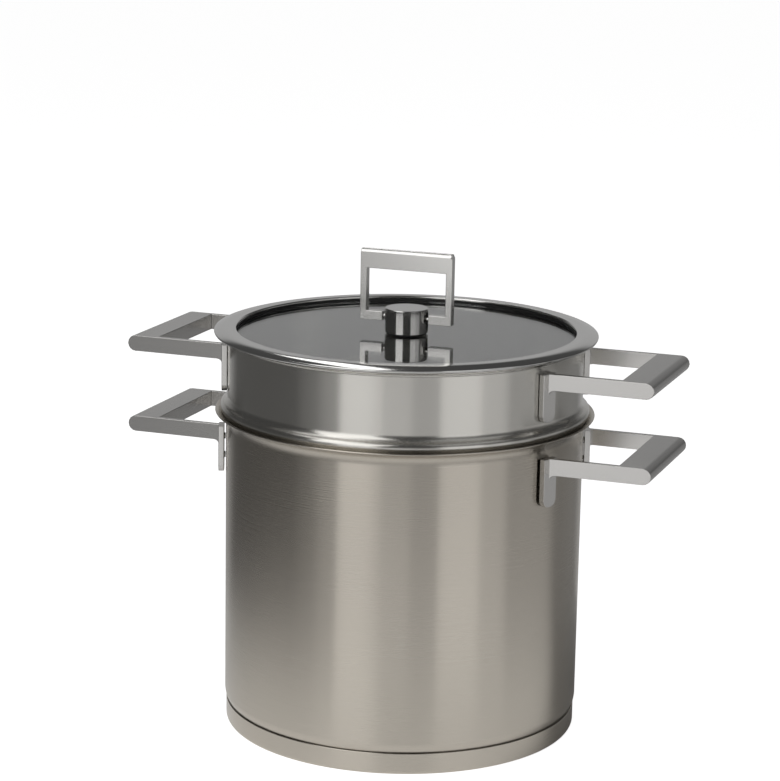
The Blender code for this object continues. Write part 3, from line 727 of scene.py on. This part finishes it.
def shaded_glow(nodes, links, place):
    """The table's glow without the strip that the pot shades, behind it on the right."""
    angle = CAMERA_AZIMUTH + math.radians(TABLE_SHADE)
    outward = along(nodes, links, place, (math.sin(angle), -math.cos(angle), 0.0))
    across = along(nodes, links, place, (math.cos(angle), math.sin(angle), 0.0))
    beyond = window(nodes, links, outward, TABLE_SHADE_START, BEYOND_ALL, TABLE_SHADE_SOFT, 1.0)
    strip = window(nodes, links, math_node(nodes, links, "ABSOLUTE", across), BELOW_ALL,
                   BODY_RADIUS, TABLE_SHADE_SIDE_SOFT, 1.0)
    shade = math_node(nodes, links, "MULTIPLY", beyond, strip)
    lit = math_node(nodes, links, "SUBTRACT", 1.0, shade)
    nearness = along(nodes, links, place, (math.sin(CAMERA_AZIMUTH), -math.cos(CAMERA_AZIMUTH),
                                           0.0))
    front = window(nodes, links, nearness, 0.0, BEYOND_ALL, TABLE_FRONT_SOFT, TABLE_FRONT_GLOW)
    return math_node(nodes, links, "MULTIPLY", lit,
                     math_node(nodes, links, "ADD", front, TABLE_GLOW))


def make_floor():
    """A white floor that keeps the object's shadow.

    Metal mirrors it near the object. Further out it mirrors the walls of the studio instead.
    """
    mesh_data = bmesh.new()
    bmesh.ops.create_grid(mesh_data, x_segments=1, y_segments=1, size=FLOOR_REACH)
    mesh = bpy.data.meshes.new("floor")
    mesh_data.to_mesh(mesh)
    mesh_data.free()
    floor = bpy.data.objects.new("floor", mesh)
    bpy.context.scene.collection.objects.link(floor)
    material = bpy.data.materials.new("pale_floor")
    material.use_nodes = True
    nodes, links = material.node_tree.nodes, material.node_tree.links
    nodes.clear()
    out = nodes.new("ShaderNodeOutputMaterial")
    place = nodes.new("ShaderNodeTexCoord")
    span = nodes.new("ShaderNodeVectorMath")
    span.operation = "LENGTH"
    links.new(place.outputs["Object"], span.inputs[0])
    near = window(nodes, links, span.outputs["Value"], BELOW_ALL, TABLE_RADIUS, TABLE_SOFT, 1.0)
    mirrored = nodes.new("ShaderNodeMixShader")
    links.new(near, mirrored.inputs[0])
    links.new(nodes.new("ShaderNodeBsdfTransparent").outputs[0], mirrored.inputs[1])
    glow = shaded_glow(nodes, links, place.outputs["Object"])
    links.new(paper(nodes, links, glow), mirrored.inputs[2])
    mixed = nodes.new("ShaderNodeMixShader")
    links.new(straight_seen(nodes, links), mixed.inputs[0])
    links.new(mirrored.outputs[0], mixed.inputs[1])
    links.new(paper(nodes, links, FLOOR_GLOW), mixed.inputs[2])
    links.new(mixed.outputs[0], out.inputs["Surface"])
    mesh.materials.append(material)


def make_studio():
    """Camera, floor, room and lamps."""
    make_camera()
    make_floor()
    studio_world()
    softbox("left_softbox", azimuth=-18, elevation=36, distance=2.0, width=1.4, height=1.7,
            radiance=1.6)
    softbox("upper_softbox", azimuth=-62, elevation=65, distance=2.0, width=1.1, height=0.8,
            radiance=1.5)
    softbox("near_softbox", azimuth=-6.8, elevation=-5, distance=1.1, width=0.51, height=0.68,
            radiance=0.70, aim_height=0.2)
    softbox("back_strip", azimuth=-152, elevation=44, distance=2.0, width=0.19, height=1.0,
            radiance=2.2)
    softbox("right_softbox", azimuth=75, elevation=55, distance=2.0, width=1.4, height=0.9,
            radiance=0.4)
    bpy.context.scene.view_settings.view_transform = "Standard"


def dress_pot(satin, fine, handle_metal, rim_metal):
    """Steel pieces of the pot, the insert and the lid."""
    make_pot_body(satin)
    make_base_cap(satin)
    make_basket(fine)
    make_lid_rim(rim_metal)
    for owner, body in (("pot", "stockpot"), ("strainer", "strainer_insert")):
        for side in ("left", "right"):
            node = owner + "_" + side + "_handle"
            eased_copy(node + "_bar", node, body, handle_metal, HANDLE_EDGE)


def main():
    """Dress the whole object."""
    turned_grain = grain_group("turned_brushing", True)
    bar_grain = grain_group("bar_brushing", False)
    satin = brushed_steel("satin_steel", turned_grain, (0.508, 0.47, 0.412),
                          (0.526, 0.488, 0.43), 0.27, anisotropy=0.92, spread=0.008, depth=0.02)
    fine = brushed_steel("fine_steel", turned_grain, (0.56, 0.545, 0.51),
                         (0.60, 0.585, 0.55), 0.245, anisotropy=0.83, spread=0.008, depth=0.01)
    rim_metal = brushed_steel("rim_steel", turned_grain, (0.63, 0.625, 0.61),
                              (0.66, 0.655, 0.64), 0.11, spread=0.01, depth=0.02)
    handle_metal = brushed_steel("handle_steel", bar_grain, (0.53, 0.52, 0.505),
                                 (0.57, 0.56, 0.545), 0.26, spread=0.015, depth=0.02)
    frame_metal = brushed_steel("frame_steel", bar_grain, (0.71, 0.70, 0.68),
                                (0.75, 0.74, 0.72), 0.26, spread=0.015, depth=0.02)
    fastener = brushed_steel("fastener_steel", turned_grain, (0.58, 0.575, 0.56),
                             (0.62, 0.61, 0.60), 0.12, spread=0.02, depth=0.03, density=14000.0)
    disc_metal = brushed_steel("disc_aluminium", turned_grain, (0.66, 0.66, 0.67),
                               (0.76, 0.76, 0.77), 0.42, density=3000.0)
    glass = clear_glass("lid_glass")
    silicone = moulded("black_silicone", (0.012, 0.012, 0.012), (0.026, 0.026, 0.026), 0.55,
                       900.0)
    plastic = moulded("friction_plastic", (0.05, 0.05, 0.05), (0.07, 0.07, 0.07), 0.45, 700.0)

    dress_pot(satin, fine, handle_metal, rim_metal)
    make_lid_glass(glass)
    eased_copy("knob", "lid_knob", "lid", fastener, KNOB_EDGE)
    eased_copy("folding_handle", "lid_handle_frame", "lid_handle", frame_metal,
               FRAME_EDGE)
    eased_copy("hinge_pin", "lid_handle_pin", "lid_handle", fastener, PIN_EDGE)
    make_lid_seal(silicone)
    dress("pot_base_core", disc_metal)
    for node in ("lid_knob_base", "lid_screw_washer", "lid_screw"):
        dress(node, fastener)
    for node in ("lid_knob_gasket", "lid_screw_gasket"):
        dress(node, silicone)
    dress("lid_friction_block", plastic)
    make_studio()


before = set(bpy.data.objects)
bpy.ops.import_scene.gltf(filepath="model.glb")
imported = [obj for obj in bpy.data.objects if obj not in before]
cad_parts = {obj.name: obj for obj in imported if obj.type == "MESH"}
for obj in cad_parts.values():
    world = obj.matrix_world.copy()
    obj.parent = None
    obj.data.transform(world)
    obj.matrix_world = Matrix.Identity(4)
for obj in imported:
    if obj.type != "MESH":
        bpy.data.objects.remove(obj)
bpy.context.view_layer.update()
main()
